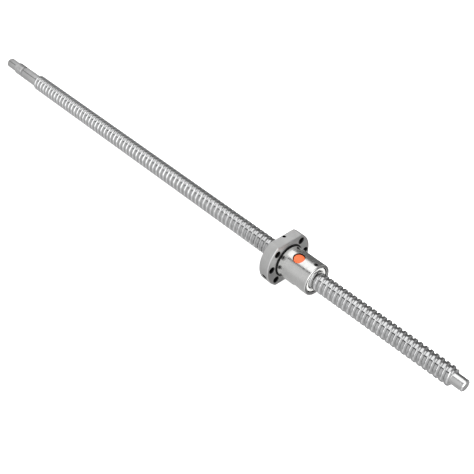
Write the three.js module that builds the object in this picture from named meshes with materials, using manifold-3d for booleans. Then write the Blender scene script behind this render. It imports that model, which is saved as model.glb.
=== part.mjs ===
// Ball screw with a flanged single nut: 16 mm screw, 5 mm lead, three internally returned ball circuits.
// Millimetres. +X runs along the screw towards its short bearing stub, +Z is square to the flange flats,
// and the origin is on the screw's axis at mid-length.
import * as THREE from "three";
import { mergeVertices } from "three/addons/utils/BufferGeometryUtils.js";
import Module from "manifold-3d";

const wasm = await Module();
wasm.setup();

// ---- Driving dimensions ------------------------------------------------------------------------

const LEAD = 5;
const BALL = { radius: 3.175 / 2, pitchRadius: 8.2, perCircuit: 16 };

const SCREW = {
  length: 600,
  outerRadius: 7.75,
  rootRadius: 6.5,
  driveEnd: { radius: 5, length: 15 },
  locknutThread: { radius: 5.9, length: 14 },
  journal: { radius: 6, length: 25 },
  reliefRadius: 5.4,
  reliefWidth: 1.2,
  stub: { radius: 5, length: 11 },
  ringGroove: { radius: 4.8, width: 1.15, fromShoulder: 9.15 - 1.15 },
  tipChamfer: 0.8,
  threadChamfer: 0.8,
};

const NUT = {
  backX: 112,
  length: 42,
  bodyRadius: 14,
  flangeRadius: 24,
  flangeThickness: 10,
  acrossFlats: 40,
  edgeChamfer: 0.5,
  endChamfer: 0.5,
  undercut: { radius: 13.3, width: 1.2, intoFace: 0.6, faceRadius: 15.2 },
  landBoreRadius: 8.15,
  grooveRadius: 9.95,
  wiperSeatRadius: 11.6,
};

const BOLT_HOLE = { radius: 5.5 / 2, circleRadius: 38 / 2, angles: [0, 45, 135, 180, 225, 315] };
const OIL_HOLE = { radius: 2.5, angle: 200, fromBack: 5 };

const CIRCUITS = { count: 3, middleX: 135.8, middleAngle: 103, stepX: LEAD * 4 / 3, stepAngle: 120 };
const DEFLECTOR = { radius: 4.6, holeRadius: 5.1, innerRadius: 8.5, outerRadius: 13 };
// The crossover lifts a ball over the screw's land while it steps back one lead.
const CROSSOVER = { halfAngle: 27, lift: 1.3, channelRadius: 1.95, channelHalfAngle: 50, channelSteps: 10 };

const WIPER = { outerRadius: 10.8, boreRadius: 8.5, chamfer: 0.35 };
const WIPER_AT = {
  flange_end: { fromEnd: 0.4, thickness: 3.7, lockX: 114.2, screwTop: 15.5, holeTop: 22 },
  body_end: { fromEnd: 1, thickness: 4, lockX: 150.8, screwTop: 12.9, holeTop: 15 },
};
const LOCK_SCREW = {
  radius: 1.15,
  holeRadius: 1.45,
  angle: 87,
  tipRadius: 10.9,
  socketRadius: 0.85,
  socketDepth: 0.9,
};

const SEGMENTS = { screwTurn: 8, nutTurn: 14, shaft: 20, body: 30, flange: 40, smallHole: 14, channel: 8 };
const OVERCUT = 1;

// ---- Places worked out from the dimensions ---------------------------------------------------------

const farTipX = -SCREW.length / 2;
const threadStartX = farTipX + SCREW.driveEnd.length + SCREW.locknutThread.length + SCREW.journal.length;
const nearTipX = SCREW.length / 2;
const threadEndX = nearTipX - SCREW.stub.length;
const nutEndX = NUT.backX + NUT.length;
const flangeFaceX = NUT.backX + NUT.flangeThickness;
const seatFloorGap = 0.3;
// Where the ball groove's centre crosses the +Y side, one of the places a lead apart.
const grooveAtY = CIRCUITS.middleX - LEAD * (CIRCUITS.middleAngle + 180) / 360;

// ---- Geometry helpers ----------------------------------------------------------------------------

function signedVolume(position, index) {
  const [a, b, c] = [new THREE.Vector3(), new THREE.Vector3(), new THREE.Vector3()];
  let sum = 0;
  for (let i = 0; i < index.length; i += 3) {
    a.fromBufferAttribute(position, index[i]);
    b.fromBufferAttribute(position, index[i + 1]);
    c.fromBufferAttribute(position, index[i + 2]);
    sum += a.dot(b.cross(c)) / 6;
  }
  return sum;
}

// A closed three.js geometry as a solid, with its seams merged and its faces turned outwards.
function solid(geometry) {
  geometry.deleteAttribute("normal");
  geometry.deleteAttribute("uv");
  const merged = mergeVertices(geometry);
  const all = merged.index.array;
  const kept = [];
  for (let i = 0; i < all.length; i += 3) {
    const [a, b, c] = [all[i], all[i + 1], all[i + 2]];
    if (a !== b && b !== c && c !== a) kept.push(a, b, c);
  }
  if (signedVolume(merged.attributes.position, kept) < 0) kept.reverse();
  const vertProperties = new Float32Array(merged.attributes.position.array);
  return new wasm.Manifold(new wasm.Mesh({ numProp: 3, vertProperties, triVerts: new Uint32Array(kept) }));
}

function geometryOf(shape) {
  const { vertProperties, triVerts } = shape.getMesh();
  const geometry = new THREE.BufferGeometry();
  geometry.setAttribute("position", new THREE.BufferAttribute(vertProperties, 3));
  geometry.setIndex(new THREE.BufferAttribute(triVerts, 1));
  geometry.computeVertexNormals();
  return geometry;
}

// A profile of [x, radius] corners, turned about the X axis.
function turned(profile, segments) {
  const points = profile.map(([x, radius]) => new THREE.Vector2(radius, x));
  return solid(new THREE.LatheGeometry(points, segments).rotateZ(-Math.PI / 2));
}

function plainRod(fromX, toX, radius, segments) {
  return turned([[fromX, 0], [fromX, radius], [toX, radius], [toX, 0]], segments);
}

function atAngle(x, radius, degrees) {
  const angle = THREE.MathUtils.degToRad(degrees);
  return new THREE.Vector3(x, radius * Math.cos(angle), radius * Math.sin(angle));
}

// A pin along X, away from the screw's axis.
function axialPin(fromX, toX, radius, centreRadius, degrees) {
  const centre = atAngle((fromX + toX) / 2, centreRadius, degrees);
  const pin = new THREE.CylinderGeometry(radius, radius, toX - fromX, SEGMENTS.smallHole);
  return solid(pin.rotateZ(-Math.PI / 2).translate(centre.x, centre.y, centre.z));
}

// A pin that points out from the screw's axis at one angle.
function radialPin(x, degrees, inner, outer, radius, segments = SEGMENTS.smallHole) {
  const pin = new THREE.CylinderGeometry(radius, radius, outer - inner, segments);
  pin.translate(0, (inner + outer) / 2, 0);
  pin.rotateX(THREE.MathUtils.degToRad(degrees));
  return solid(pin.translate(x, 0, 0));
}

// A round bar with a right-hand helical form. profile lists [offset along X, radius] corners of one lead.
function helicalBar(startX, turns, steps, profile) {
  const columns = profile.length;
  const rows = turns * steps;
  const positions = [];
  const indexOf = [];
  const addVertex = (row, column) => {
    const [offset, radius] = profile[column];
    const vertex = atAngle(startX + offset + LEAD * row / steps, radius, 360 * row / steps);
    indexOf[row * columns + column] = positions.length / 3;
    positions.push(vertex.x, vertex.y, vertex.z);
  };
  for (let row = 0; row <= rows; row++) {
    for (let column = 0; column < columns; column++) addVertex(row, column);
  }
  for (let row = rows + 1; row <= rows + steps; row++) addVertex(row, 0);
  // The column after the last one is the first column of the next turn.
  const id = (row, column) => (column < columns
    ? indexOf[row * columns + column]
    : indexOf[(row + steps) * columns]);
  const index = [];
  for (let row = 0; row < rows; row++) {
    for (let column = 0; column < columns; column++) {
      const [a, b] = [id(row, column), id(row + 1, column)];
      const [c, d] = [id(row + 1, column + 1), id(row, column + 1)];
      index.push(a, b, c, a, c, d);
    }
  }
  const cap = (row, flip) => {
    const centre = positions.length / 3;
    positions.push(startX + profile[0][0] + LEAD * (row / steps + 0.5), 0, 0);
    const loop = [];
    for (let step = 0; step < steps; step++) loop.push(id(row + step, 0));
    for (let column = columns; column > 0; column--) loop.push(id(row, column));
    loop.forEach((vertex, i) => {
      const next = loop[(i + 1) % loop.length];
      index.push(centre, ...(flip ? [vertex, next] : [next, vertex]));
    });
  };
  cap(0, false);
  cap(rows, true);
  const geometry = new THREE.BufferGeometry();
  geometry.setAttribute("position", new THREE.Float32BufferAttribute(positions, 3));
  geometry.setIndex(index);
  return solid(geometry);
}

// ---- Materials -----------------------------------------------------------------------------------

function material(color, roughness, metalness) {
  return new THREE.MeshStandardMaterial({ color, roughness, metalness });
}

const screwSteel = material(0xb9bbbd, 0.28, 1);
const nutSteel = material(0xc2c2c0, 0.32, 1);
const ballSteel = material(0xd8d9db, 0.12, 1);
const setScrewSteel = material(0x34353a, 0.5, 0.8);
const orangePlastic = material(0xff8c50, 0.45, 0);
const wiperPlastic = material(0xe6e6e2, 0.55, 0);

function named(name, geometry, surface) {
  const mesh = new THREE.Mesh(geometry, surface);
  mesh.name = name;
  return mesh;
}

// ---- Screw shaft ---------------------------------------------------------------------------------

function shaftEnds() {
  const { driveEnd, locknutThread, journal, stub, ringGroove, tipChamfer: chamfer } = SCREW;
  const driveShoulderX = farTipX + driveEnd.length;
  const threadShoulderX = driveShoulderX + locknutThread.length;
  const grooveX = threadEndX + ringGroove.fromShoulder;
  return turned([
    [farTipX, 0],
    [farTipX, driveEnd.radius - chamfer],
    [farTipX + chamfer, driveEnd.radius],
    [driveShoulderX, driveEnd.radius],
    [driveShoulderX + locknutThread.radius - driveEnd.radius, locknutThread.radius],
    [threadShoulderX - SCREW.reliefWidth, locknutThread.radius],
    [threadShoulderX - SCREW.reliefWidth, SCREW.reliefRadius],
    [threadShoulderX, SCREW.reliefRadius],
    [threadShoulderX, journal.radius],
    [threadEndX - OVERCUT, journal.radius],
    [threadEndX - OVERCUT, stub.radius],
    [grooveX, stub.radius],
    [grooveX, ringGroove.radius],
    [grooveX + ringGroove.width, ringGroove.radius],
    [grooveX + ringGroove.width, stub.radius],
    [nearTipX - chamfer, stub.radius],
    [nearTipX, stub.radius - chamfer],
    [nearTipX, 0],
  ], SEGMENTS.shaft);
}

function ballThread() {
  const profile = [
    [-1.7, SCREW.outerRadius],
    [-0.95, SCREW.rootRadius],
    [0.95, SCREW.rootRadius],
    [1.7, SCREW.outerRadius],
  ];
  const turnsBefore = Math.ceil((grooveAtY - threadStartX) / LEAD) + 1;
  const turns = Math.ceil((threadEndX - threadStartX) / LEAD) + 4;
  const bar = helicalBar(grooveAtY - turnsBefore * LEAD, turns, SEGMENTS.screwTurn, profile);
  const clearRadius = SCREW.outerRadius + OVERCUT;
  const endRadius = clearRadius - SCREW.threadChamfer - OVERCUT;
  const slope = clearRadius - endRadius;
  const envelope = turned([
    [threadStartX, 0],
    [threadStartX, endRadius],
    [threadStartX + slope, clearRadius],
    [threadEndX - slope, clearRadius],
    [threadEndX, endRadius],
    [threadEndX, 0],
  ], SEGMENTS.shaft);
  return bar.intersect(envelope);
}

const screwShaft = named("screw_shaft", geometryOf(ballThread().add(shaftEnds())), screwSteel);

// ---- Ball path and deflector channel, in a frame with the deflector at +Z -----------------------

// Position on the ball's closed path at an angle from the deflector, from -180 to 180 degrees.
function ballCentre(degrees) {
  const share = degrees / CROSSOVER.halfAngle;
  const grooveX = LEAD * (degrees - Math.sign(degrees) * 180) / 360;
  if (Math.abs(share) >= 1) return atAngle(grooveX, BALL.pitchRadius, degrees + 90);
  const endX = LEAD * (0.5 - CROSSOVER.halfAngle / 360);
  const x = endX * (1 - 2 * THREE.MathUtils.smoothstep(share, -1, 1));
  return atAngle(x, BALL.pitchRadius + CROSSOVER.lift * Math.sqrt(1 - share * share), degrees + 90);
}

// Angles of the balls, spaced evenly along the closed path.
function ballAngles() {
  const samples = 3600;
  const lengths = [0];
  for (let i = 1; i <= samples; i++) {
    const [a, b] = [i - 1, i].map((n) => ballCentre(360 * n / samples - 180));
    lengths.push(lengths[i - 1] + a.distanceTo(b));
  }
  const spacing = lengths[samples] / BALL.perCircuit;
  return Array.from({ length: BALL.perCircuit }, (_, ball) => {
    const sample = lengths.findIndex((length) => length >= (ball + 0.5) * spacing);
    return 360 * sample / samples - 180;
  });
}

function channel() {
  const { channelHalfAngle, channelSteps, channelRadius } = CROSSOVER;
  const points = [];
  for (let i = 0; i <= channelSteps; i++) {
    points.push(ballCentre(channelHalfAngle * (2 * i / channelSteps - 1)));
  }
  const section = new THREE.Shape();
  for (let i = 0; i < SEGMENTS.channel; i++) {
    const angle = 2 * Math.PI * i / SEGMENTS.channel;
    const corner = [channelRadius * Math.cos(angle), channelRadius * Math.sin(angle)];
    if (i === 0) section.moveTo(...corner);
    else section.lineTo(...corner);
  }
  const extrudePath = new THREE.CatmullRomCurve3(points);
  return new THREE.ExtrudeGeometry(section, { steps: channelSteps, extrudePath });
}

function deflectorGeometry() {
  const { radius, innerRadius, outerRadius } = DEFLECTOR;
  const plug = radialPin(0, 90, 0, NUT.bodyRadius + OVERCUT, radius, SEGMENTS.shaft);
  const reach = 2 * radius;
  const crown = plainRod(-reach, reach, outerRadius, SEGMENTS.flange);
  const core = plainRod(-reach - OVERCUT, reach + OVERCUT, innerRadius, SEGMENTS.flange);
  return geometryOf(plug.intersect(crown).subtract(core).subtract(solid(channel())));
}

// ---- Nut body ------------------------------------------------------------------------------------

function circuitPlaces() {
  return Array.from({ length: CIRCUITS.count }, (_, i) => {
    const step = i - (CIRCUITS.count - 1) / 2;
    return {
      x: CIRCUITS.middleX + step * CIRCUITS.stepX,
      degrees: CIRCUITS.middleAngle + step * CIRCUITS.stepAngle,
    };
  });
}

function flangeBlank() {
  const { backX, flangeRadius: radius, edgeChamfer: chamfer } = NUT;
  const disc = turned([
    [backX, 0],
    [backX, radius - chamfer],
    [backX + chamfer, radius],
    [flangeFaceX - chamfer, radius],
    [flangeFaceX, radius - chamfer],
    [flangeFaceX, 0],
  ], SEGMENTS.flange);
  const slab = new THREE.BoxGeometry(2 * NUT.flangeThickness, 4 * radius, NUT.acrossFlats);
  return disc.intersect(solid(slab.translate(flangeFaceX, 0, 0)));
}

function barrelBlank() {
  return turned([
    [flangeFaceX - OVERCUT, 0],
    [flangeFaceX - OVERCUT, NUT.bodyRadius],
    [nutEndX - NUT.endChamfer, NUT.bodyRadius],
    [nutEndX, NUT.bodyRadius - NUT.endChamfer],
    [nutEndX, 0],
  ], SEGMENTS.body);
}

// The grinding undercut where the barrel meets the flange. It goes a little way into both.
function undercutSpace() {
  const { radius, width, intoFace, faceRadius } = NUT.undercut;
  return turned([
    [flangeFaceX - intoFace, radius],
    [flangeFaceX - intoFace, faceRadius],
    [flangeFaceX + width, faceRadius],
    [flangeFaceX + width, radius],
    [flangeFaceX - intoFace, radius],
  ], SEGMENTS.body);
}

// The nut's helical space round the screw. Its corners lie outside the true radii, so that the flats
// between them keep clear of the balls.
function nutThreadSpace() {
  const outside = 1 / Math.cos(Math.PI / SEGMENTS.nutTurn);
  const profile = [
    [-1.85, NUT.landBoreRadius * outside],
    [-1, NUT.grooveRadius * outside],
    [1, NUT.grooveRadius * outside],
    [1.85, NUT.landBoreRadius * outside],
  ];
  const seats = wiperSeats();
  const turnsBefore = Math.ceil((grooveAtY - seats.flange_end.floorX) / LEAD) + 1;
  const turns = Math.ceil((seats.body_end.floorX - seats.flange_end.floorX) / LEAD) + 3;
  const bar = helicalBar(grooveAtY - turnsBefore * LEAD, turns, SEGMENTS.nutTurn, profile);
  const window = plainRod(
    seats.flange_end.floorX - OVERCUT / 2,
    seats.body_end.floorX + OVERCUT / 2,
    NUT.wiperSeatRadius,
    SEGMENTS.body,
  );
  return bar.intersect(window);
}

function wiperSeats() {
  const { flange_end: flangeEnd, body_end: bodyEnd } = WIPER_AT;
  return {
    flange_end: {
      mouthX: NUT.backX - OVERCUT,
      floorX: NUT.backX + flangeEnd.fromEnd + flangeEnd.thickness + seatFloorGap,
    },
    body_end: {
      mouthX: nutEndX + OVERCUT,
      floorX: nutEndX - bodyEnd.fromEnd - bodyEnd.thickness - seatFloorGap,
    },
  };
}

function nutBodySolid() {
  let body = flangeBlank().add(barrelBlank());
  const cut = (tool) => {
    body = body.subtract(tool);
  };
  cut(undercutSpace());
  cut(nutThreadSpace());
  for (const { mouthX, floorX } of Object.values(wiperSeats())) {
    cut(plainRod(Math.min(mouthX, floorX), Math.max(mouthX, floorX), NUT.wiperSeatRadius, SEGMENTS.body));
  }
  for (const angle of BOLT_HOLE.angles) {
    const [from, to] = [NUT.backX - OVERCUT, flangeFaceX + OVERCUT];
    cut(axialPin(from, to, BOLT_HOLE.radius, BOLT_HOLE.circleRadius, angle));
  }
  const oilX = NUT.backX + OIL_HOLE.fromBack;
  cut(radialPin(oilX, OIL_HOLE.angle, NUT.landBoreRadius, NUT.flangeRadius + OVERCUT, OIL_HOLE.radius));
  for (const { lockX, holeTop } of Object.values(WIPER_AT)) {
    cut(radialPin(lockX, LOCK_SCREW.angle, WIPER.outerRadius - OVERCUT, holeTop, LOCK_SCREW.holeRadius));
  }
  for (const { x, degrees } of circuitPlaces()) {
    cut(radialPin(x, degrees, 0, NUT.bodyRadius + OVERCUT, DEFLECTOR.holeRadius, SEGMENTS.shaft));
    const turn = THREE.MathUtils.degToRad(degrees - 90);
    cut(solid(channel().rotateX(turn).translate(x, 0, 0)));
  }
  return body;
}

const nutBody = named("nut_body", geometryOf(nutBodySolid()), nutSteel);

// ---- Ball circuits, deflectors, wipers and their screws -------------------------------------------

function ballCircuit(place, number, shared) {
  const circuit = new THREE.Group();
  circuit.position.x = place.x;
  circuit.rotation.x = THREE.MathUtils.degToRad(place.degrees - 90);
  circuit.add(named(`return_deflector_${number}`, shared.deflector, orangePlastic));
  shared.angles.forEach((angle, i) => {
    const ball = named(`ball_${number}_${String(i + 1).padStart(2, "0")}`, shared.ball, ballSteel);
    ball.position.copy(ballCentre(angle));
    circuit.add(ball);
  });
  return circuit;
}

function wiperRing(where, { fromEnd, thickness }) {
  const { outerRadius, boreRadius, chamfer } = WIPER;
  const startX = where === "flange_end" ? NUT.backX + fromEnd : nutEndX - fromEnd - thickness;
  const endX = startX + thickness;
  const ring = turned([
    [startX, boreRadius],
    [startX, outerRadius - chamfer],
    [startX + chamfer, outerRadius],
    [endX - chamfer, outerRadius],
    [endX, outerRadius - chamfer],
    [endX, boreRadius],
    [startX, boreRadius],
  ], SEGMENTS.body);
  return named(`wiper_${where}`, geometryOf(ring), wiperPlastic);
}

function lockScrew(where, { lockX, screwTop }) {
  const { radius, angle, tipRadius, socketRadius, socketDepth } = LOCK_SCREW;
  const shank = radialPin(lockX, angle, tipRadius, screwTop, radius);
  const socket = radialPin(lockX, angle, screwTop - socketDepth, screwTop + OVERCUT, socketRadius, 6);
  return named(`wiper_lock_screw_${where}`, geometryOf(shank.subtract(socket)), setScrewSteel);
}

const sharedShapes = {
  deflector: deflectorGeometry(),
  ball: geometryOf(solid(new THREE.OctahedronGeometry(BALL.radius, 1))),
  angles: ballAngles(),
};

const ballScrew = new THREE.Group();
ballScrew.add(screwShaft, nutBody);
circuitPlaces().forEach((place, i) => ballScrew.add(ballCircuit(place, i + 1, sharedShapes)));
for (const [where, sizes] of Object.entries(WIPER_AT)) {
  ballScrew.add(wiperRing(where, sizes), lockScrew(where, sizes));
}

export default ballScrew;
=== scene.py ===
"""Ball screw with a flanged nut: fine meshes, procedural materials, studio light and camera,
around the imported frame.

The frame has +X along the screw, +Z square to the flange flats and its origin on the screw's axis
at mid-length.
Meshes are built in millimetres and scaled to metres once, in mesh_object().
"""

import math

import bmesh
import bpy
import numpy as np
from mathutils import Matrix, Vector


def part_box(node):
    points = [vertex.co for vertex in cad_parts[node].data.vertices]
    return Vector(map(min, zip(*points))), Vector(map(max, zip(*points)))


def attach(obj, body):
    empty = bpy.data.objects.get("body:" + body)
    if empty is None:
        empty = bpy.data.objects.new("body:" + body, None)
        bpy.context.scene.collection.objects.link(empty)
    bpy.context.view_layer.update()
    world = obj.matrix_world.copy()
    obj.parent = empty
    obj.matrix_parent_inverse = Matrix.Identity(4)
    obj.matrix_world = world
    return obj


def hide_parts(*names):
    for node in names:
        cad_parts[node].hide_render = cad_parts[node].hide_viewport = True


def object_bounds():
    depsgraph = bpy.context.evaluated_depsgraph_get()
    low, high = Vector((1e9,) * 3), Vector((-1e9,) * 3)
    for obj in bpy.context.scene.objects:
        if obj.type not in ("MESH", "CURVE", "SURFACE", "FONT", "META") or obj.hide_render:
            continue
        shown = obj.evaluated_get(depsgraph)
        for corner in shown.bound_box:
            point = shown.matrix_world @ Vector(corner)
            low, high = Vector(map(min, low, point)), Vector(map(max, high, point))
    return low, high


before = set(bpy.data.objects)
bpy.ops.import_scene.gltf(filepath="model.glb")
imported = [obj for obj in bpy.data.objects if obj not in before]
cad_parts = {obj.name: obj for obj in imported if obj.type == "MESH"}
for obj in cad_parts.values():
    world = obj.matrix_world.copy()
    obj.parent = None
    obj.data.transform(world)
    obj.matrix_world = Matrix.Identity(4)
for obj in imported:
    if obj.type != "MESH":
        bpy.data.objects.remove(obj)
cad_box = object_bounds()

MM = 0.001

# ---- Driving dimensions, in millimetres ----------------------------------------------------------

nut_low, nut_high = (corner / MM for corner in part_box("nut_body"))
screw_low, screw_high = (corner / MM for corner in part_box("screw_shaft"))

LEAD = 5.0
OUTER_RADIUS = 7.75
GROOVE = {"centre": 8.2, "radius": 1.7, "offset": 0.08, "fillet": 0.08}
BALL_RADIUS = 3.175 / 2
BALL_PITCH_RADIUS = 8.2

DRIVE_END, LOCKNUT_THREAD, JOURNAL, STUB = 15.0, 14.0, 25.0, 11.0
thread_start = screw_low.x + DRIVE_END + LOCKNUT_THREAD + JOURNAL
thread_end = screw_high.x - STUB

NUT_BACK, NUT_END = nut_low.x, nut_high.x
FLANGE_RADIUS, FLAT_HEIGHT, FLANGE_THICKNESS = nut_high.y, nut_high.z, 10.0
flange_face = NUT_BACK + FLANGE_THICKNESS
BARREL_RADIUS = 14.0
RELIEF_RADIUS = 15.2
SEAT_RADIUS = 11.6
LAND_BORE = 8.15
FLANGE_SEAT_DEPTH, END_SEAT_DEPTH = 4.4, 5.3
THREAD_INTO_SEAT = 0.4

CIRCUIT_MIDDLE_X, CIRCUIT_MIDDLE_ANGLE = 135.8, 103.0
CIRCUIT_STEP_X, CIRCUIT_STEP_ANGLE = LEAD * 4 / 3, 120.0
CROSSOVER_HALF_ANGLE, CROSSOVER_LIFT = 27.0, 1.3
groove_at_y = CIRCUIT_MIDDLE_X - LEAD * (CIRCUIT_MIDDLE_ANGLE + 180) / 360

BOLT_ANGLES = (0, 45, 135, 180, 225, 315)
LOCK_SCREW_ANGLE = 87.0
LOCK_SCREWS = {"flange_end": {"x": 114.2, "top": 15.5}, "body_end": {"x": 150.8, "top": 12.9}}

AROUND_SCREW = 48
AROUND_NUT = 144


# ---- Mesh helpers ---------------------------------------------------------------------------------

def mesh_object(name, vertices, faces, sharp_degrees=28.0):
    """A mesh object from millimetre vertices, merged, wound outwards and smooth below the sharp angle."""
    mesh = bpy.data.meshes.new(name)
    mesh.from_pydata([tuple(v) for v in np.asarray(vertices) * MM], [], faces)
    work = bmesh.new()
    work.from_mesh(mesh)
    bmesh.ops.remove_doubles(work, verts=work.verts, dist=1e-7)
    bmesh.ops.dissolve_degenerate(work, edges=work.edges, dist=1e-8)
    bmesh.ops.recalc_face_normals(work, faces=work.faces)
    work.to_mesh(mesh)
    work.free()
    obj = bpy.data.objects.new(name, mesh)
    bpy.context.scene.collection.objects.link(obj)
    shade(mesh, sharp_degrees)
    return obj


def shade(mesh, sharp_degrees):
    mesh.shade_smooth()
    mesh.set_sharp_from_angle(angle=math.radians(sharp_degrees))


def on_axis(x, radius, degrees):
    angle = math.radians(degrees)
    return Vector((x, radius * math.cos(angle), radius * math.sin(angle)))


class Bar:
    """A round bar along X, made ring by ring from its low end, and closed at both ends."""

    def __init__(self, steps):
        self.steps = steps
        self.vertices = []
        self.faces = []
        self.edge = None

    def join(self, ring):
        """Joins the open edge to a new ring of vertex numbers."""
        n = self.steps
        if self.edge is not None:
            for i in range(n):
                j = (i + 1) % n
                self.faces.append((self.edge[i], self.edge[j], ring[j], ring[i]))
        self.edge = ring

    def ring(self, x, radius):
        first = len(self.vertices)
        for i in range(self.steps):
            self.vertices.append(on_axis(x, radius, 360 * i / self.steps))
        self.join(list(range(first, first + self.steps)))

    def rings(self, profile):
        for x, radius in profile:
            self.ring(x, radius)

    def pole(self, x):
        """Closes an end with a fan."""
        centre = len(self.vertices)
        self.vertices.append(Vector((x, 0, 0)))
        n = self.steps
        self.faces += [(self.edge[(i + 1) % n], self.edge[i], centre) for i in range(n)]

    def start(self, x, radius):
        self.ring(x, radius)
        self.pole(x)

    def thread(self, low, high, lead, at_y, columns, radius_at):
        """A right-hand helical stretch. columns are offsets along one lead.

        radius_at(offset, x) is the surface.
        """
        turns_before = math.ceil((at_y - low) / lead) + 2
        turns = math.ceil((high - low) / lead) + 5
        start = at_y - turns_before * lead
        along = [start + turn * lead + offset for turn in range(turns) for offset in columns]
        first, rows, across = len(self.vertices), self.steps, len(along)
        for i in range(rows):
            twist = lead * i / rows
            for x in along:
                place = min(max(x + twist, low), high)
                offset = (place - twist - at_y + lead / 2) % lead - lead / 2
                self.vertices.append(on_axis(place, radius_at(offset, place), 360 * i / rows))

        def number(i, j):
            wrapped = i == rows
            return first + (0 if wrapped else i) * across + j + (len(columns) if wrapped else 0)

        self.join([number(i, 0) for i in range(rows)])
        for i in range(rows):
            last = across - 1 - (len(columns) if i == rows - 1 else 0)
            for j in range(last):
                corners = (number(i, j), number(i + 1, j), number(i + 1, j + 1), number(i, j + 1))
                self.faces.append(corners)
        self.edge = [number(i, across - 1) for i in range(rows)]

    def finish(self, name, x, sharp_degrees=28.0):
        self.pole(x)
        return mesh_object(name, self.vertices, self.faces, sharp_degrees)


def arc_corner(before, corner, after, radius, steps=4):
    """Points that round a profile corner with about that radius."""
    before, corner, after = (np.array(p, float) for p in (before, corner, after))
    into, out = corner - before, after - corner
    reach = min(radius, 0.45 * np.linalg.norm(into), 0.45 * np.linalg.norm(out))
    a = corner - into / np.linalg.norm(into) * reach
    b = corner + out / np.linalg.norm(out) * reach
    shares = [i / steps for i in range(steps + 1)]
    return [tuple((1 - t) ** 2 * a + 2 * t * (1 - t) * corner + t * t * b) for t in shares]


def rounded(profile, radius, closed=False):
    """The profile with its corners rounded. An open profile keeps its first and last point."""
    count = len(profile)
    points = [] if closed else [profile[0]]
    for i in range(count) if closed else range(1, count - 1):
        points += arc_corner(profile[i - 1], profile[i], profile[(i + 1) % count], radius)
    return points if closed else points + [profile[-1]]


def turned_ring(name, profile, degrees, outline=None, sharp_degrees=28.0):
    """A closed [x, radius] profile turned about X. outline bends a radius by angle."""
    vertices, faces = [], []
    for angle in degrees:
        for x, radius in profile:
            vertices.append(on_axis(x, outline(radius, angle) if outline else radius, angle))
    n, m = len(degrees), len(profile)
    for i in range(n):
        for j in range(m):
            k, after = (i + 1) % n, (j + 1) % m
            faces.append((i * m + j, k * m + j, k * m + after, i * m + after))
    return mesh_object(name, vertices, faces, sharp_degrees)


def even_angles(count):
    return [360 * i / count for i in range(count)]


def pin(name, profile, steps, direction, at):
    """A solid of revolution from [height, radius] corners, standing along direction from the point at."""
    bar = Bar(steps)
    bar.start(*profile[0])
    bar.rings(profile[1:])
    obj = bar.finish(name, profile[-1][0])
    turn = Vector((1, 0, 0)).rotation_difference(Vector(direction)).to_matrix().to_4x4()
    obj.data.transform(Matrix.Translation(Vector(at) * MM) @ turn)
    return obj


def cut(target, tools):
    """Cuts the target by each tool, removes the tools and keeps the result in the target's own mesh."""
    for tool in tools:
        modifier = target.modifiers.new("cut", "BOOLEAN")
        modifier.operation = "DIFFERENCE"
        modifier.solver = "EXACT"
        modifier.object = tool
    graph = bpy.context.evaluated_depsgraph_get()
    mesh = bpy.data.meshes.new_from_object(target.evaluated_get(graph), depsgraph=graph)
    target.modifiers.clear()
    old, target.data = target.data, mesh
    bpy.data.meshes.remove(old)
    for tool in tools:
        bpy.data.objects.remove(tool)
    return target


def radial_normals(obj, radii, tolerance=0.004):
    """Gives faces on these cylinders about X their true normals, so that cuts leave no shading."""
    mesh = obj.data
    normals = []
    for polygon in mesh.polygons:
        places = [mesh.vertices[v].co / MM for v in polygon.vertices]
        sizes = [math.hypot(p.y, p.z) for p in places]
        on_one = any(all(abs(s - r) < tolerance for s in sizes) for r in radii)
        if on_one and abs(polygon.normal.x) < 0.05:
            side = 1 if polygon.normal.y * places[0].y + polygon.normal.z * places[0].z > 0 else -1
            normals += [Vector((0, p.y, p.z)).normalized() * side for p in places]
        else:
            normals += [Vector((0, 0, 0))] * len(places)
    mesh.normals_split_custom_set(normals)


# ---- Materials ------------------------------------------------------------------------------------

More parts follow.
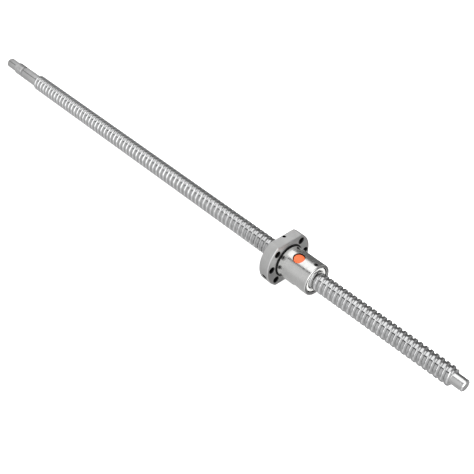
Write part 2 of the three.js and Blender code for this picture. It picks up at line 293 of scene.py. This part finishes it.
class Surface:
    """A procedural material on the object's own coordinates."""

    def __init__(self, name, colour, roughness, metallic):
        self.material = bpy.data.materials.new(name)
        self.material.use_nodes = True
        self.tree = self.material.node_tree
        self.shader = self.tree.nodes["Principled BSDF"]
        self.shader.inputs["Metallic"].default_value = metallic
        self.coordinates = self.tree.nodes.new("ShaderNodeTexCoord").outputs["Object"]
        self.colour, self.roughness = colour, roughness
        self.bumps = []

    def link(self, source, target):
        self.tree.links.new(source, target)

    def noise(self, stretch, detail=4.0, scale=1.0):
        """Noise with its own scale along X, Y and Z, in features per metre."""
        mapping = self.tree.nodes.new("ShaderNodeMapping")
        mapping.inputs["Scale"].default_value = stretch
        self.link(self.coordinates, mapping.inputs["Vector"])
        noise = self.tree.nodes.new("ShaderNodeTexNoise")
        noise.inputs["Scale"].default_value = scale
        noise.inputs["Detail"].default_value = detail
        self.link(mapping.outputs["Vector"], noise.inputs["Vector"])
        return noise.outputs["Fac"]

    def spread(self, source, low, high):
        remap = self.tree.nodes.new("ShaderNodeMapRange")
        remap.inputs["From Min"].default_value, remap.inputs["From Max"].default_value = 0.3, 0.7
        remap.inputs["To Min"].default_value, remap.inputs["To Max"].default_value = low, high
        self.link(source, remap.inputs["Value"])
        return remap.outputs["Result"]

    def vary_colour(self, source, darker=0.92):
        mix = self.tree.nodes.new("ShaderNodeMix")
        mix.data_type = "RGBA"
        mix.inputs["A"].default_value = (*(c * darker for c in self.colour), 1)
        mix.inputs["B"].default_value = (*self.colour, 1)
        self.link(self.spread(source, 0, 1), mix.inputs["Factor"])
        self.link(mix.outputs["Result"], self.shader.inputs["Base Color"])

    def vary_roughness(self, source, amount):
        result = self.spread(source, self.roughness - amount, self.roughness + amount)
        self.link(result, self.shader.inputs["Roughness"])

    def bump(self, source, height):
        """Raises the surface by up to height metres."""
        node = self.tree.nodes.new("ShaderNodeBump")
        node.inputs["Strength"].default_value = 1.0
        node.inputs["Distance"].default_value = height
        self.link(source, node.inputs["Height"])
        if self.bumps:
            self.link(self.bumps[-1].outputs["Normal"], node.inputs["Normal"])
        self.link(node.outputs["Normal"], self.shader.inputs["Normal"])
        self.bumps.append(node)


def turned_steel(name, colour, roughness, marks, mark_height, tone=0.9):
    """Steel finished on a lathe or grinder: fine rings along X, with soft clouding."""
    surface = Surface(name, colour, roughness, 1.0)
    rings = surface.noise((marks, marks * 0.02, marks * 0.02), detail=2.0)
    clouds = surface.noise((120, 120, 120), detail=3.0)
    surface.vary_colour(clouds, tone)
    surface.vary_roughness(rings, roughness * 0.25)
    surface.bump(rings, mark_height)
    return surface.material


def rolled_steel():
    surface = Surface("rolled_screw_steel", (0.66, 0.663, 0.667), 0.1, 1.0)
    clouds = surface.noise((260, 260, 260), detail=5.0)
    specks = surface.noise((1500, 1500, 1500), detail=2.0)
    surface.vary_colour(clouds, 0.86)
    surface.vary_roughness(clouds, 0.03)
    surface.bump(specks, 0.000001)
    return surface.material


def ball_steel():
    surface = Surface("polished_ball_steel", (0.86, 0.865, 0.87), 0.06, 1.0)
    clouds = surface.noise((500, 500, 500))
    surface.vary_colour(clouds, 0.95)
    surface.vary_roughness(clouds, 0.02)
    return surface.material


def black_oxide():
    surface = Surface("black_oxide_steel", (0.035, 0.035, 0.04), 0.45, 0.7)
    clouds = surface.noise((900, 900, 900))
    surface.vary_colour(clouds, 0.7)
    surface.vary_roughness(clouds, 0.1)
    surface.bump(clouds, 0.000004)
    return surface.material


def moulded_plastic(name, colour, roughness, darker):
    surface = Surface(name, colour, roughness, 0.0)
    clouds = surface.noise((350, 350, 350), detail=3.0)
    grain = surface.noise((4000, 4000, 4000), detail=2.0)
    surface.vary_colour(clouds, darker)
    surface.vary_roughness(grain, 0.06)
    surface.bump(grain, 0.000002)
    return surface.material


screw_finishes = [
    rolled_steel(),
    turned_steel("turned_journal_steel", (0.78, 0.78, 0.78), 0.2, 2600, 0.0000008),
    # painted shade: the locknut thread's darker colour stands in for the shade of its fine grooves
    turned_steel("painted_shade_locknut_thread_steel", (0.5, 0.5, 0.5), 0.35, 2600, 0.0000008),
]
nut_finishes = [
    turned_steel("ground_barrel_steel", (0.84, 0.84, 0.83), 0.23, 3000, 0.00002),
    turned_steel("satin_flange_steel", (0.76, 0.76, 0.755), 0.52, 1500, 0.0000015),
    # painted shade: the near-black colour stands in for the shade inside the nut's holes, grooves, bores
    # and recesses
    turned_steel("painted_shade_recess_steel", (0.05, 0.05, 0.05), 0.5, 1500, 0.0000015),
]
ball_finishes = [ball_steel()]
set_screw_finishes = [black_oxide()]
orange_finishes = [moulded_plastic("orange_moulded_plastic", (0.93, 0.17, 0.05), 0.42, 0.93)]
wiper_finishes = [moulded_plastic("off_white_moulded_plastic", (0.85, 0.85, 0.83), 0.5, 0.95)]


def finish_piece(obj, materials, body, slot, *nodes, zone=None):
    """Gives a piece its materials and its body, and hides the CAD parts it stands for. zone picks a
    material by place.
    """
    obj.data.materials.clear()
    for material in materials:
        obj.data.materials.append(material)
    for polygon in obj.data.polygons:
        polygon.material_index = zone(polygon.center / MM) if zone else 0
    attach(obj, body)
    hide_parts(*nodes)
    return obj


# ---- Screw shaft ----------------------------------------------------------------------------------

def smooth_less(a, b, blend):
    """The smaller of two heights, with the corner between them rounded."""
    share = max(0.0, 1 - abs(a - b) / blend)
    return min(a, b) - blend * share * share / 4


def groove_depth(offset, centre=GROOVE["centre"]):
    """Radius of the gothic-arch groove at an offset from its middle."""
    side = abs(offset) + GROOVE["offset"]
    inside = GROOVE["radius"] ** 2 - side ** 2
    return centre - math.sqrt(inside) if inside > 0 else centre


def ball_thread_radius(offset, x):
    chamfer = 0.8
    inward = min(x - thread_start, thread_end - x)
    surface = smooth_less(OUTER_RADIUS, groove_depth(offset), GROOVE["fillet"])
    if inward < chamfer:
        surface = min(surface, OUTER_RADIUS - chamfer + inward)
    return surface


def locknut_thread_radius(offset, x, low, high, crest=5.95, depth=0.58):
    """A 60 degree thread with a truncated crest and root, running out in a chamfer at both ends."""
    slope_start = 0.08
    fall = min(max((abs(offset) - slope_start) / (0.5 - slope_start - 0.1), 0), 1)
    inward = min(x - low, high - x)
    return min(crest - depth * fall, crest - 0.9 + inward * 0.9)


def screw_shaft():
    half = (0.0, 0.5, 0.9, 1.2, 1.4, 1.52, 1.6, 1.74)
    columns = sorted({-s for s in half} | set(half) | {LEAD / 2})
    drive_shoulder = screw_low.x + DRIVE_END
    locknut_end = drive_shoulder + LOCKNUT_THREAD
    low, high = drive_shoulder + 0.05, locknut_end - 1.2
    bar = Bar(AROUND_SCREW)
    bar.start(screw_low.x, 4.2)
    bar.rings(rounded([(screw_low.x, 4.2), (screw_low.x + 0.8, 5), (drive_shoulder, 5)], 0.15)[1:])
    bar.thread(low, high, 1.0, low, (-0.42, -0.25, -0.08, 0.08, 0.25, 0.42),
               lambda offset, x: locknut_thread_radius(offset, x, low, high))
    bar.rings(rounded([(high, 5.1), (high + 0.1, 5.3), (locknut_end, 5.3), (locknut_end + 0.1, 5.75),
                       (locknut_end + 0.45, 6), (thread_start - 0.15, 6)], 0.12)[1:])
    bar.rings([(thread_start - 0.1, 5.95), (thread_start, 6.05)])
    bar.thread(thread_start, thread_end, LEAD, groove_at_y, columns, ball_thread_radius)
    ring_groove = thread_end + 8
    bar.rings(rounded([
        (thread_end, 5.1), (thread_end + 0.1, 5),
        (ring_groove, 5), (ring_groove, 4.8), (ring_groove + 1.15, 4.8), (ring_groove + 1.15, 5),
        (screw_high.x - 0.8, 5), (screw_high.x, 4.2),
    ], 0.06))
    shaft = bar.finish("screw_shaft_fine", screw_high.x)

    def zone(place):
        """0 for the rolled thread, 2 for the locknut thread, darkened as painted shade of its grooves, and
        1 for the turned ends.
        """
        if thread_start + 0.01 < place.x < thread_end - 0.01:
            return 0
        return 2 if low < place.x < locknut_end + 0.01 else 1

    return finish_piece(shaft, screw_finishes, "screw", "screw_steel", "screw_shaft", zone=zone)


# ---- Ball path ------------------------------------------------------------------------------------

def ball_centre(degrees):
    """Place on the closed path at an angle from -180 to 180 degrees from the deflector, which is at +Z."""
    share = degrees / CROSSOVER_HALF_ANGLE
    if abs(share) >= 1:
        x = LEAD * (degrees - math.copysign(180, degrees)) / 360
        return on_axis(x, BALL_PITCH_RADIUS, degrees + 90)
    ease = (share + 1) / 2
    end_x = LEAD * (0.5 - CROSSOVER_HALF_ANGLE / 360)
    x = end_x * (1 - 2 * ease * ease * (3 - 2 * ease))
    lift = CROSSOVER_LIFT * math.sqrt(1 - share * share)
    return on_axis(x, BALL_PITCH_RADIUS + lift, degrees + 90)


def channel_tool(name, radius=1.85, steps=28, sides=20, reach=50.0):
    """A tube along the crossover, with which the deflector's return channel is cut."""
    path = [ball_centre(reach * (2 * i / steps - 1)) for i in range(steps + 1)]
    vertices, faces = [], []
    for i, centre in enumerate(path):
        along = (path[min(i + 1, steps)] - path[max(i - 1, 0)]).normalized()
        outwards = Vector((0, centre.y, centre.z))
        outwards = (outwards - along * outwards.dot(along)).normalized()
        aside = along.cross(outwards)
        for k in range(sides):
            angle = 2 * math.pi * k / sides
            vertices.append(centre + radius * (math.cos(angle) * outwards + math.sin(angle) * aside))
    for i in range(steps):
        for k in range(sides):
            after = (k + 1) % sides
            faces.append((i * sides + k, i * sides + after, (i + 1) * sides + after, (i + 1) * sides + k))
    faces += [tuple(range(sides)), tuple(steps * sides + k for k in reversed(range(sides)))]
    return mesh_object(name, vertices, faces)


def circuit_matrix(number):
    """From the deflector's own frame, at x = 0 and +Z, to its place on the nut."""
    step = number - 2
    turn = math.radians(CIRCUIT_MIDDLE_ANGLE + step * CIRCUIT_STEP_ANGLE - 90)
    x = (CIRCUIT_MIDDLE_X + step * CIRCUIT_STEP_X) * MM
    return Matrix.Translation((x, 0, 0)) @ Matrix.Rotation(turn, 4, "X")


# ---- Nut body -------------------------------------------------------------------------------------

def flange_outline(radius, degrees):
    """Flattens the flange's outermost rings to the two flats."""
    if radius < 20:
        return radius
    height = radius - (FLANGE_RADIUS - FLAT_HEIGHT)
    rise = abs(math.sin(math.radians(degrees)))
    return min(radius, height / rise) if rise > 0.5 else radius


def nut_angles(edge_chamfer):
    angles = set(even_angles(AROUND_NUT))
    for inset in (0, edge_chamfer):
        radius = FLANGE_RADIUS - inset
        corner = math.degrees(math.asin((FLAT_HEIGHT - inset) / radius))
        angles |= {corner, 180 - corner, 180 + corner, 360 - corner}
    return sorted(angles)


def nut_blank():
    edge, end_chamfer, undercut, undercut_end = 0.5, 0.5, 13.3, flange_face + 1.2
    relief_face = flange_face - 0.6
    seat_floor_low, seat_floor_high = NUT_BACK + FLANGE_SEAT_DEPTH, NUT_END - END_SEAT_DEPTH
    outside = [
        (NUT_BACK, FLANGE_RADIUS - edge), (NUT_BACK + edge, FLANGE_RADIUS),
        (flange_face - edge, FLANGE_RADIUS), (flange_face, FLANGE_RADIUS - edge),
        (flange_face, RELIEF_RADIUS), (relief_face + 0.1, RELIEF_RADIUS - 0.15),
        (relief_face, RELIEF_RADIUS - 0.4),
        (relief_face, undercut + 0.3), (relief_face + 0.3, undercut),
        (undercut_end - 0.1, undercut), (undercut_end, undercut + 0.1),
        (undercut_end, BARREL_RADIUS - 0.25), (undercut_end + 0.25, BARREL_RADIUS),
        (NUT_END - end_chamfer, BARREL_RADIUS),
        (NUT_END - end_chamfer / 3, BARREL_RADIUS - end_chamfer / 2),
        (NUT_END, BARREL_RADIUS - end_chamfer),
    ]
    inside = [
        (NUT_END, SEAT_RADIUS + 0.3), (NUT_END - 0.3, SEAT_RADIUS),
        (seat_floor_high, SEAT_RADIUS), (seat_floor_high, LAND_BORE + 0.4),
        (seat_floor_high - 0.4, LAND_BORE),
        (seat_floor_low + 0.4, LAND_BORE), (seat_floor_low, LAND_BORE + 0.4), (seat_floor_low, SEAT_RADIUS),
        (NUT_BACK + 0.3, SEAT_RADIUS), (NUT_BACK, SEAT_RADIUS + 0.3),
    ]
    return turned_ring("nut_body_fine", outside + inside, nut_angles(edge), flange_outline)


def nut_thread_tool():
    """The helical space of the nut's ball groove."""
    def radius_at(offset, x):
        side = abs(offset) + GROOVE["offset"]
        inside = (GROOVE["radius"] + 0.02) ** 2 - side ** 2
        arc = BALL_PITCH_RADIUS + math.sqrt(inside) if inside > 0 else 0
        return max(arc, LAND_BORE - 0.3)

    low = NUT_BACK + FLANGE_SEAT_DEPTH - THREAD_INTO_SEAT
    high = NUT_END - END_SEAT_DEPTH + THREAD_INTO_SEAT
    half = (0.0, 0.5, 0.95, 1.3, 1.5, 1.6, 1.7)
    bar = Bar(60)
    bar.start(low, LAND_BORE - 0.3)
    columns = sorted({-s for s in half} | set(half) | {LEAD / 2})
    bar.thread(low, high, LEAD, groove_at_y, columns, radius_at)
    return bar.finish("nut_thread_tool", high)


def countersunk(low, high, radius, chamfer=0.4, over=1.0):
    """Profile of a hole cutter with a small chamfer at both mouths."""
    flare = radius + chamfer + over
    return [(low - over, flare), (low + chamfer, radius), (high - chamfer, radius), (high + over, flare)]


def nut_tools():
    tools = [nut_thread_tool()]
    for degrees in BOLT_ANGLES:
        profile = countersunk(NUT_BACK, flange_face, 2.75)
        tools.append(pin("bolt_hole", profile, 48, (1, 0, 0), on_axis(0, 19, degrees)))
    oil = [(LAND_BORE, 1.4), (15.8, 1.4), (15.8, 2.5), (FLANGE_RADIUS - 0.4, 2.5), (FLANGE_RADIUS + 1, 3.9)]
    tools.append(pin("oil_hole", oil, 40, on_axis(0, 1, 200), (NUT_BACK + 5, 0, 0)))
    for name, mouth in (("flange_end", FLAT_HEIGHT), ("body_end", BARREL_RADIUS)):
        profile = [(SEAT_RADIUS - 1, 1.45), (mouth - 0.25, 1.45), (mouth + 1, 2.7)]
        at = (LOCK_SCREWS[name]["x"], 0, 0)
        tools.append(pin("lock_hole", profile, 32, on_axis(0, 1, LOCK_SCREW_ANGLE), at))
    for number in (1, 2, 3):
        pocket = pin("pocket", [(0, 5.1), (BARREL_RADIUS + 1, 5.1)], 72, (0, 0, 1), (0, 0, 0))
        channel = channel_tool("channel")
        for tool in (pocket, channel):
            tool.data.transform(circuit_matrix(number))
            tools.append(tool)
    return tools


def nut_zone(place):
    """0 for the ground barrel and end face, 1 for the flange and 2 inside a hole, groove, bore or recess,
    which is painted near black as shade.
    """
    radius = math.hypot(place.y, place.z)
    if place.x < flange_face + 0.01:
        deep = NUT_BACK + 0.02 < place.x < flange_face - 0.02
        inside = radius < FLANGE_RADIUS - 0.6 and abs(place.z) < FLAT_HEIGHT - 0.3
        return 2 if radius < SEAT_RADIUS + 0.01 or deep and inside else 1
    hidden = radius < BARREL_RADIUS - 0.02 and place.x < NUT_END - 0.55 or radius < SEAT_RADIUS + 0.01
    return 2 if hidden else 0


def nut_body():
    body = cut(nut_blank(), nut_tools())
    shade(body.data, 28.0)
    radial_normals(body, (BARREL_RADIUS, FLANGE_RADIUS, SEAT_RADIUS))
    return finish_piece(body, nut_finishes, "nut", "nut_steel", "nut_body", zone=nut_zone)


# ---- Deflectors, balls, wipers and lock screws -----------------------------------------------------

def deflector(number, radius=4.6, crown=13.0, core=8.5, rings=9, sides=72):
    """A round plug with a crowned top and a hollowed underside, cut by its return channel."""
    vertices, faces = [], []
    edge_round = 0.3
    outwards = [radius * i / rings for i in range(1, rings)] + [radius - edge_round]
    top = [(r, 0.0) for r in sorted(outwards) if r <= radius - edge_round]
    rim = [(radius - edge_round * (1 - math.sin(a)), edge_round * (1 - math.cos(a)))
           for a in (math.radians(d) for d in (22.5, 45, 67.5, 90))]
    under = [(r, None) for r in sorted((radius * i / rings for i in range(1, rings + 1)), reverse=True)]
    vertices.append(Vector((0, 0, crown)))
    for r, drop in top + rim + under:
        for k in range(sides):
            angle = 2 * math.pi * k / sides
            x, y = r * math.cos(angle), r * math.sin(angle)
            surface = core if drop is None else crown
            vertices.append(Vector((x, y, math.sqrt(surface ** 2 - y * y) - (drop or 0))))
    vertices.append(Vector((0, 0, core)))
    loops = len(top + rim + under)
    for k in range(sides):
        after = (k + 1) % sides
        faces.append((0, 1 + k, 1 + after))
        for loop in range(loops - 1):
            a, b = 1 + loop * sides, 1 + (loop + 1) * sides
            faces.append((a + k, b + k, b + after, a + after))
        last = 1 + (loops - 1) * sides
        faces.append((last + k, len(vertices) - 1, last + after))
    plug = mesh_object(f"return_deflector_{number}_fine", vertices, faces, 35.0)
    cut(plug, [channel_tool("channel")])
    plug.data.transform(circuit_matrix(number))
    shade(plug.data, 35.0)
    return finish_piece(plug, orange_finishes, "nut", "orange_plastic", f"return_deflector_{number}")


def ball_mesh(cells=10):
    """A sphere from the six faces of a cube, so that its faces are all near one size."""
    vertices, faces = [], []
    for axis in range(3):
        for side in (-1, 1):
            first = len(vertices)
            for i in range(cells + 1):
                for j in range(cells + 1):
                    u, v = (math.tan(math.pi / 4 * (2 * k / cells - 1)) for k in (i, j))
                    point = [0.0, 0.0, 0.0]
                    point[axis], point[(axis + 1) % 3], point[(axis + 2) % 3] = side, u, v
                    vertices.append(Vector(point).normalized() * BALL_RADIUS)
            for i in range(cells):
                for j in range(cells):
                    a = first + i * (cells + 1) + j
                    faces.append((a, a + 1, a + cells + 2, a + cells + 1))
    pattern = mesh_object("ball_pattern", vertices, faces, 60.0)
    mesh = pattern.data
    bpy.data.objects.remove(pattern)
    return mesh


def balls():
    """Each ball stands where its CAD ball is."""
    pattern = ball_mesh()
    for node in sorted(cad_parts):
        if node.startswith("ball_"):
            low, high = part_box(node)
            ball = bpy.data.objects.new(node + "_fine", pattern.copy())
            ball.data.transform(Matrix.Translation((low + high) / 2))
            bpy.context.scene.collection.objects.link(ball)
            finish_piece(ball, ball_finishes, "nut", "ball_steel", node)


def wiper(where):
    """A plastic ring with a rounded outer edge and a lip round its bore."""
    low, high = (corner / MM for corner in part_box(f"wiper_{where}"))
    outer, bore = 10.8, 8.5
    profile = [
        (low.x, outer), (high.x, outer), (high.x, bore + 0.55),
        (high.x - 0.35, bore + 0.3), (high.x - 0.35, bore),
        (low.x + 0.35, bore), (low.x + 0.35, bore + 0.3), (low.x, bore + 0.55),
    ]
    ring = turned_ring(f"wiper_{where}_fine", rounded(profile, 0.3, closed=True), even_angles(96))
    return finish_piece(ring, wiper_finishes, "wipers", "wiper_plastic", f"wiper_{where}")


def lock_screw(where):
    """A short socket set screw with a fine thread and a cone point."""
    tip, top, x = 10.95, LOCK_SCREWS[where]["top"], LOCK_SCREWS[where]["x"]
    crest, pitch = 1.13, 0.4

    def radius_at(offset, height):
        fall = min(abs(offset) / (pitch / 2), 1)
        return crest - 0.2 * fall - 0.2 * max(0, 1 - min(height - tip - 0.2, top - height) / 0.2)

    bar = Bar(32)
    bar.start(tip, 0.6)
    bar.thread(tip + 0.2, top, pitch, tip, (-0.14, -0.05, 0.05, 0.14), radius_at)
    screw = bar.finish(f"wiper_lock_screw_{where}_fine", top)
    socket = pin("socket", [(top - 0.9, 0.84), (top + 1, 0.84)], 6, (1, 0, 0), (0, 0, 0))
    cut(screw, [socket])
    upright = Matrix.Rotation(math.radians(90), 4, "Z")
    turn = Matrix.Rotation(math.radians(LOCK_SCREW_ANGLE), 4, "X") @ upright
    screw.data.transform(Matrix.Translation((x * MM, 0, 0)) @ turn)
    shade(screw.data, 28.0)
    node = f"wiper_lock_screw_{where}"
    return finish_piece(screw, set_screw_finishes, "nut", "set_screw_steel", node)


# ---- Camera, floor and light ----------------------------------------------------------------------

def camera():
    place, target = Vector((0.49574, -0.41352, 0.49303)), Vector((0.07274, -0.01209, -0.00004))
    roll = math.radians(1.702)
    data = bpy.data.cameras.new("camera")
    data.lens, data.sensor_width, data.clip_start = 69.09, 36.0, 0.01
    obj = bpy.data.objects.new("camera", data)
    bpy.context.scene.collection.objects.link(obj)
    look = (target - place).to_track_quat("-Z", "Y").to_matrix().to_4x4()
    obj.matrix_world = Matrix.Translation(place) @ look @ Matrix.Rotation(roll, 4, "Z")
    bpy.context.scene.camera = obj


def floor():
    size, height = 6.0, cad_box[0][2]
    corners = [(-size, -size, 0), (size, -size, 0), (size, size, 0), (-size, size, 0)]
    mesh = bpy.data.meshes.new("floor")
    mesh.from_pydata([(x, y, height) for x, y, _ in corners], [], [(0, 1, 2, 3)])
    obj = bpy.data.objects.new("floor", mesh)
    bpy.context.scene.collection.objects.link(obj)
    surface = Surface("pale_floor", (0.9, 0.9, 0.9), 0.8, 0.0)
    surface.vary_colour(surface.noise((3, 3, 3)), 0.99)
    surface.shader.inputs["Emission Color"].default_value = (1, 1, 1, 1)
    surface.shader.inputs["Emission Strength"].default_value = 0.75
    surface.shader.inputs["Specular IOR Level"].default_value = 0.0
    mesh.materials.append(surface.material)
    obj.visible_glossy = False


class Room:
    """The studio as brightness by direction, painted area by area over a grey base."""

    def __init__(self, base):
        world = bpy.data.worlds.new("studio")
        bpy.context.scene.world = world
        world.use_nodes = True
        self.tree = world.node_tree
        self.background = self.tree.nodes["Background"]
        self.direction = self.tree.nodes.new("ShaderNodeTexCoord").outputs["Generated"]
        parts = self.tree.nodes.new("ShaderNodeSeparateXYZ")
        self.tree.links.new(self.direction, parts.inputs["Vector"])
        self.along, self.across, self.up = parts.outputs
        self.around = self.degrees_round_x()
        self.level = None
        self.base = base

    def degrees_round_x(self):
        """Angle of the direction about X, from +Y towards +Z."""
        turn = self.tree.nodes.new("ShaderNodeMath")
        turn.operation = "ARCTAN2"
        self.tree.links.new(self.up, turn.inputs[0])
        self.tree.links.new(self.across, turn.inputs[1])
        scale = self.tree.nodes.new("ShaderNodeMath")
        scale.operation = "DEGREES"
        self.tree.links.new(turn.outputs["Value"], scale.inputs[0])
        return scale.outputs["Value"]

    def towards(self, direction):
        """Cosine of the angle from one direction."""
        node = self.tree.nodes.new("ShaderNodeVectorMath")
        node.operation = "DOT_PRODUCT"
        node.inputs[1].default_value = Vector(direction).normalized()
        self.tree.links.new(self.direction, node.inputs[0])
        return node.outputs["Value"]

    def step(self, source, low, high):
        node = self.tree.nodes.new("ShaderNodeMapRange")
        node.interpolation_type = "SMOOTHSTEP"
        for key, value in (("From Min", low), ("From Max", high)):
            node.inputs[key].default_value = value
        self.tree.links.new(source, node.inputs["Value"])
        return node.outputs["Result"]

    def paint(self, brightness, *limits):
        """Paints the directions inside every limit. A limit is (source, outside value, inside value)."""
        mask = None
        for source, outside, inside in limits:
            share = self.step(source, outside, inside)
            if mask is None:
                mask = share
            else:
                product = self.tree.nodes.new("ShaderNodeMath")
                product.operation = "MULTIPLY"
                self.tree.links.new(mask, product.inputs[0])
                self.tree.links.new(share, product.inputs[1])
                mask = product.outputs["Value"]
        mix = self.tree.nodes.new("ShaderNodeMix")
        if self.level is None:
            mix.inputs["A"].default_value = self.base
        else:
            self.tree.links.new(self.level, mix.inputs["A"])
        mix.inputs["B"].default_value = brightness
        self.tree.links.new(mask, mix.inputs["Factor"])
        self.level = mix.outputs["Result"]

    def finish(self):
        self.tree.links.new(self.level, self.background.inputs["Color"])
        self.background.inputs["Strength"].default_value = 1.0


def studio():
    """Two long soft panels with a dark gap between them, and darker or brighter areas around."""
    room = Room(0.5)
    room.paint(0.66, (room.across, 0.1, -0.3), (room.up, -0.5, 0.2))
    room.paint(0.9, (room.along, 0.35, 0.55), (room.across, 0.15, -0.05), (room.up, 0.1, -0.1))
    room.paint(0.15, (room.along, 0.3, 0.1), (room.across, 0.0, 0.3), (room.around, 54, 50),
               (room.around, -70, -50), (room.along, -0.8, -0.5))
    room.paint(0.05, (room.along, -0.77, -0.94))
    room.paint(0.3, (room.along, 0.0, 0.3), (room.across, 0.1, 0.3), (room.up, -0.1, 0.1))
    room.paint(1.15, (room.around, 50, 55), (room.around, 113, 112), (room.along, -0.9, -0.5),
               (room.along, 0.4, 0.2))
    room.paint(1.35, (room.around, 56, 66), (room.around, 112, 108), (room.along, -0.6, -0.42),
               (room.along, 0.3, 0.1))
    room.paint(0.8, (room.along, 0.0, 0.12), (room.across, 0.1, -0.1), (room.up, 0.1, 0.3))
    room.paint(2.2, (room.along, 0.76, 0.88), (room.across, 0.5, 0.35), (room.up, -0.15, 0.0))
    room.paint(0.0, (room.around, 111, 112.5), (room.around, 124, 122.5), (room.along, -0.1, -0.25))
    room.paint(0.15, (room.towards((0.52, 0.55, -0.66)), 0.8, 0.93), (room.along, 0.3, 0.42))
    room.finish()
    bpy.context.scene.view_settings.view_transform = "Standard"


def soft_lamp(name, place, size, power):
    """A square soft light aimed at the nut. It isn't seen in reflections, which come from the room."""
    data = bpy.data.lights.new(name, "AREA")
    data.size, data.energy = size, power
    obj = bpy.data.objects.new(name, data)
    bpy.context.scene.collection.objects.link(obj)
    aim = Vector((0.13, 0, 0)) - Vector(place)
    obj.matrix_world = Matrix.Translation(place) @ aim.to_track_quat("-Z", "Y").to_matrix().to_4x4()
    obj.visible_glossy = False


def lamps():
    soft_lamp("overhead", (0.1, -0.2, 1.6), 1.6, 12)
    soft_lamp("front", (1.5, -0.5, 0.9), 1.2, 11)


camera()
floor()
studio()
lamps()
screw_shaft()
nut_body()
for deflector_number in (1, 2, 3):
    deflector(deflector_number)
balls()
for end in ("flange_end", "body_end"):
    wiper(end)
    lock_screw(end)
